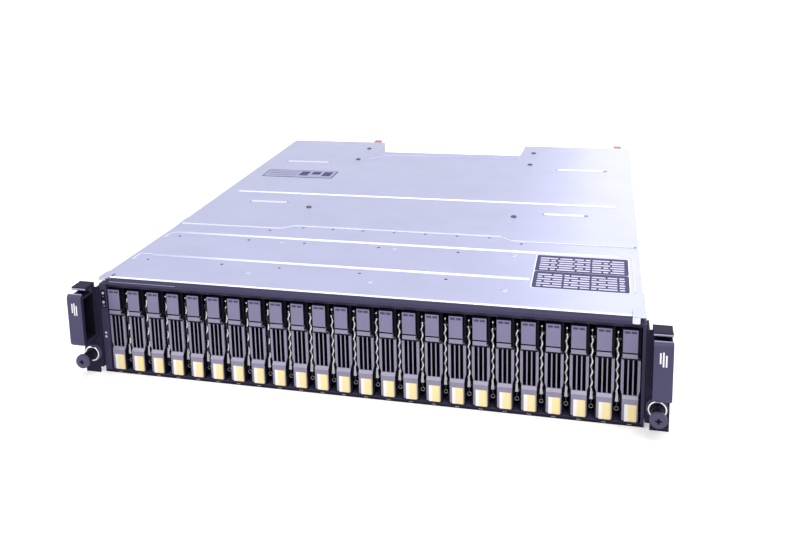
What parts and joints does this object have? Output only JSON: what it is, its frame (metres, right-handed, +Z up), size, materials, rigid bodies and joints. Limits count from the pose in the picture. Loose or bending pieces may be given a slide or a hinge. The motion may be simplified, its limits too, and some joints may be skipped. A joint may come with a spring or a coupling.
{
  "type": "disk enclosure",
  "caption": "Flat rack enclosure with a row of upright sliding disk carriers in front, and slide-out power and controller modules behind a notched cover.",
  "frame": {"origin": "centre of the base pan's bottom face, midway between the front frame's face and the rear edge", "axes": "+Z up, -Y out of the disk front, +X to the right as the front is seen"},
  "size_m": [0.4824, 0.611, 0.0868],
  "materials": {
    "galvanised": "zinc coated sheet, satin",
    "screw_steel": "plated screw",
    "frame_black": "fine grain moulding",
    "light_lens": "clear lens",
    "guide_black": "moulded",
    "board_green": "coated laminate",
    "plug_black": "moulded",
    "ear_steel": "black paint",
    "ear_black": "fine grain moulding",
    "knob_black": "moulded knob on a steel screw",
    "carrier_grey": "satin metallic grey moulding",
    "module_steel": "zinc coated sheet",
    "fan_black": "moulded",
    "pull_black": "moulded",
    "latch_orange": "moulded",
    "port_steel": "plated cage",
    "lever_grey": "moulded"
  },
  "bodies": {
    "chassis": {"base_pan": "galvanised", "bay_top_panel": "galvanised", "top_cover": "galvanised", "cover_screws": "screw_steel", "front_frame": "frame_black", "light_pipes": "light_lens", "drive_guides": "guide_black", "midplane_board": "board_green", "midplane_connectors": "plug_black", "bay_wall_left": "galvanised", "bay_wall_right": "galvanised", "controller_shelf": "galvanised", "ear_bracket_left": "ear_steel", "ear_bracket_right": "ear_steel", "ear_cover_left": "ear_black", "ear_cover_right": "ear_black"},
    "thumbscrew_left": {"thumbscrew_left": "knob_black"},
    "thumbscrew_right": {"thumbscrew_right": "knob_black"},
    "carrier_01": {"carrier_01": "carrier_grey"},
    "carrier_02": {"carrier_02": "carrier_grey"},
    "carrier_03": {"carrier_03": "carrier_grey"},
    "carrier_04": {"carrier_04": "carrier_grey"},
    "carrier_05": {"carrier_05": "carrier_grey"},
    "carrier_06": {"carrier_06": "carrier_grey"},
    "carrier_07": {"carrier_07": "carrier_grey"},
    "carrier_08": {"carrier_08": "carrier_grey"},
    "carrier_09": {"carrier_09": "carrier_grey"},
    "carrier_10": {"carrier_10": "carrier_grey"},
    "carrier_11": {"carrier_11": "carrier_grey"},
    "carrier_12": {"carrier_12": "carrier_grey"},
    "carrier_13": {"carrier_13": "carrier_grey"},
    "carrier_14": {"carrier_14": "carrier_grey"},
    "carrier_15": {"carrier_15": "carrier_grey"},
    "carrier_16": {"carrier_16": "carrier_grey"},
    "carrier_17": {"carrier_17": "carrier_grey"},
    "carrier_18": {"carrier_18": "carrier_grey"},
    "carrier_19": {"carrier_19": "carrier_grey"},
    "carrier_20": {"carrier_20": "carrier_grey"},
    "carrier_21": {"carrier_21": "carrier_grey"},
    "carrier_22": {"carrier_22": "carrier_grey"},
    "carrier_23": {"carrier_23": "carrier_grey"},
    "carrier_24": {"carrier_24": "carrier_grey"},
    "carrier_handle": {"carrier_handle": "carrier_grey"},
    "carrier_button": {"carrier_button": "carrier_grey"},
    "psu_left": {"psu_left_case": "module_steel", "psu_left_inlet": "plug_black", "psu_left_handle": "pull_black"},
    "psu_left_fan": {"psu_left_fan": "fan_black"},
    "psu_left_latch": {"psu_left_latch": "latch_orange"},
    "psu_right": {"psu_right_case": "module_steel", "psu_right_inlet": "plug_black", "psu_right_handle": "pull_black"},
    "psu_right_fan": {"psu_right_fan": "fan_black"},
    "psu_right_latch": {"psu_right_latch": "latch_orange"},
    "controller_lower": {"controller_lower_case": "module_steel", "controller_lower_ports": "port_steel"},
    "controller_lower_lever": {"controller_lower_lever": "lever_grey"},
    "controller_upper": {"controller_upper_case": "module_steel", "controller_upper_ports": "port_steel"},
    "controller_upper_lever": {"controller_upper_lever": "lever_grey"}
  },
  "joints": [
    {"name": "carrier_01_slide", "type": "slide", "parent": "chassis", "child": "carrier_01", "axis": [0, -1, 0], "range_m": [0, 0.12]},
    {"name": "carrier_02_slide", "type": "slide", "parent": "chassis", "child": "carrier_02", "axis": [0, -1, 0], "range_m": [0, 0.12]},
    {"name": "carrier_03_slide", "type": "slide", "parent": "chassis", "child": "carrier_03", "axis": [0, -1, 0], "range_m": [0, 0.12]},
    {"name": "carrier_04_slide", "type": "slide", "parent": "chassis", "child": "carrier_04", "axis": [0, -1, 0], "range_m": [0, 0.12]},
    {"name": "carrier_05_slide", "type": "slide", "parent": "chassis", "child": "carrier_05", "axis": [0, -1, 0], "range_m": [0, 0.12]},
    {"name": "carrier_06_slide", "type": "slide", "parent": "chassis", "child": "carrier_06", "axis": [0, -1, 0], "range_m": [0, 0.12]},
    {"name": "carrier_07_slide", "type": "slide", "parent": "chassis", "child": "carrier_07", "axis": [0, -1, 0], "range_m": [0, 0.12]},
    {"name": "carrier_08_slide", "type": "slide", "parent": "chassis", "child": "carrier_08", "axis": [0, -1, 0], "range_m": [0, 0.12]},
    {"name": "carrier_09_slide", "type": "slide", "parent": "chassis", "child": "carrier_09", "axis": [0, -1, 0], "range_m": [0, 0.12]},
    {"name": "carrier_10_slide", "type": "slide", "parent": "chassis", "child": "carrier_10", "axis": [0, -1, 0], "range_m": [0, 0.12]},
    {"name": "carrier_11_slide", "type": "slide", "parent": "chassis", "child": "carrier_11", "axis": [0, -1, 0], "range_m": [0, 0.12]},
    {"name": "carrier_12_slide", "type": "slide", "parent": "chassis", "child": "carrier_12", "axis": [0, -1, 0], "range_m": [0, 0.12]},
    {"name": "carrier_13_slide", "type": "slide", "parent": "chassis", "child": "carrier_13", "axis": [0, -1, 0], "range_m": [0, 0.12]},
    {"name": "carrier_14_slide", "type": "slide", "parent": "chassis", "child": "carrier_14", "axis": [0, -1, 0], "range_m": [0, 0.12]},
    {"name": "carrier_15_slide", "type": "slide", "parent": "chassis", "child": "carrier_15", "axis": [0, -1, 0], "range_m": [0, 0.12]},
    {"name": "carrier_16_slide", "type": "slide", "parent": "chassis", "child": "carrier_16", "axis": [0, -1, 0], "range_m": [0, 0.12]},
    {"name": "carrier_17_slide", "type": "slide", "parent": "chassis", "child": "carrier_17", "axis": [0, -1, 0], "range_m": [0, 0.12]},
    {"name": "carrier_18_slide", "type": "slide", "parent": "chassis", "child": "carrier_18", "axis": [0, -1, 0], "range_m": [0, 0.12]},
    {"name": "carrier_19_slide", "type": "slide", "parent": "chassis", "child": "carrier_19", "axis": [0, -1, 0], "range_m": [0, 0.12]},
    {"name": "carrier_20_slide", "type": "slide", "parent": "chassis", "child": "carrier_20", "axis": [0, -1, 0], "range_m": [0, 0.12]},
    {"name": "carrier_21_slide", "type": "slide", "parent": "chassis", "child": "carrier_21", "axis": [0, -1, 0], "range_m": [0, 0.12]},
    {"name": "carrier_22_slide", "type": "slide", "parent": "chassis", "child": "carrier_22", "axis": [0, -1, 0], "range_m": [0, 0.12]},
    {"name": "carrier_23_slide", "type": "slide", "parent": "chassis", "child": "carrier_23", "axis": [0, -1, 0], "range_m": [0, 0.12]},
    {"name": "carrier_24_slide", "type": "slide", "parent": "chassis", "child": "carrier_24", "axis": [0, -1, 0], "range_m": [0, 0.12]},
    {"name": "carrier_handle_swing", "type": "hinge", "parent": "carrier_24", "child": "carrier_handle", "pos_m": [0.2135, -0.275, 0.0075], "axis": [1, 0, 0], "range_deg": [0, 50]},
    {"name": "carrier_button_press", "type": "slide", "parent": "carrier_24", "child": "carrier_button", "axis": [0, 1, 0], "range_m": [0, 0.002], "stiffness_N_per_m": 300},
    {"name": "thumbscrew_left_turn", "type": "hinge", "parent": "chassis", "child": "thumbscrew_left", "pos_m": [-0.23255, -0.281, 0.0186], "axis": [0, 1, 0], "continuous": true},
    {"name": "psu_left_slide", "type": "slide", "parent": "chassis", "child": "psu_left", "axis": [0, 1, 0], "range_m": [0, 0.36]},
    {"name": "psu_left_fan_spin", "type": "hinge", "parent": "psu_left", "child": "psu_left_fan", "pos_m": [-0.15625, 0.266, 0.04175], "axis": [0, 1, 0], "continuous": true},
    {"name": "psu_left_latch_press", "type": "slide", "parent": "psu_left", "child": "psu_left_latch", "axis": [-1, 0, 0], "range_m": [0, 0.004], "stiffness_N_per_m": 400},
    {"name": "thumbscrew_right_turn", "type": "hinge", "parent": "chassis", "child": "thumbscrew_right", "pos_m": [0.23255, -0.281, 0.0186], "axis": [0, 1, 0], "continuous": true},
    {"name": "psu_right_slide", "type": "slide", "parent": "chassis", "child": "psu_right", "axis": [0, 1, 0], "range_m": [0, 0.36]},
    {"name": "psu_right_fan_spin", "type": "hinge", "parent": "psu_right", "child": "psu_right_fan", "pos_m": [0.16025, 0.266, 0.04175], "axis": [0, 1, 0], "continuous": true},
    {"name": "psu_right_latch_press", "type": "slide", "parent": "psu_right", "child": "psu_right_latch", "axis": [-1, 0, 0], "range_m": [0, 0.004], "stiffness_N_per_m": 400},
    {"name": "controller_lower_slide", "type": "slide", "parent": "chassis", "child": "controller_lower", "axis": [0, 1, 0], "range_m": [0, 0.3]},
    {"name": "controller_lower_lever_swing", "type": "hinge", "parent": "controller_lower", "child": "controller_lower_lever", "pos_m": [-0.082, 0.226, 0.0085], "axis": [0, 0, 1], "range_deg": [0, 75]},
    {"name": "controller_upper_slide", "type": "slide", "parent": "chassis", "child": "controller_upper", "axis": [0, 1, 0], "range_m": [0, 0.3]},
    {"name": "controller_upper_lever_swing", "type": "hinge", "parent": "controller_upper", "child": "controller_upper_lever", "pos_m": [-0.082, 0.226, 0.0508], "axis": [0, 0, 1], "range_deg": [0, 75]}
  ]
}
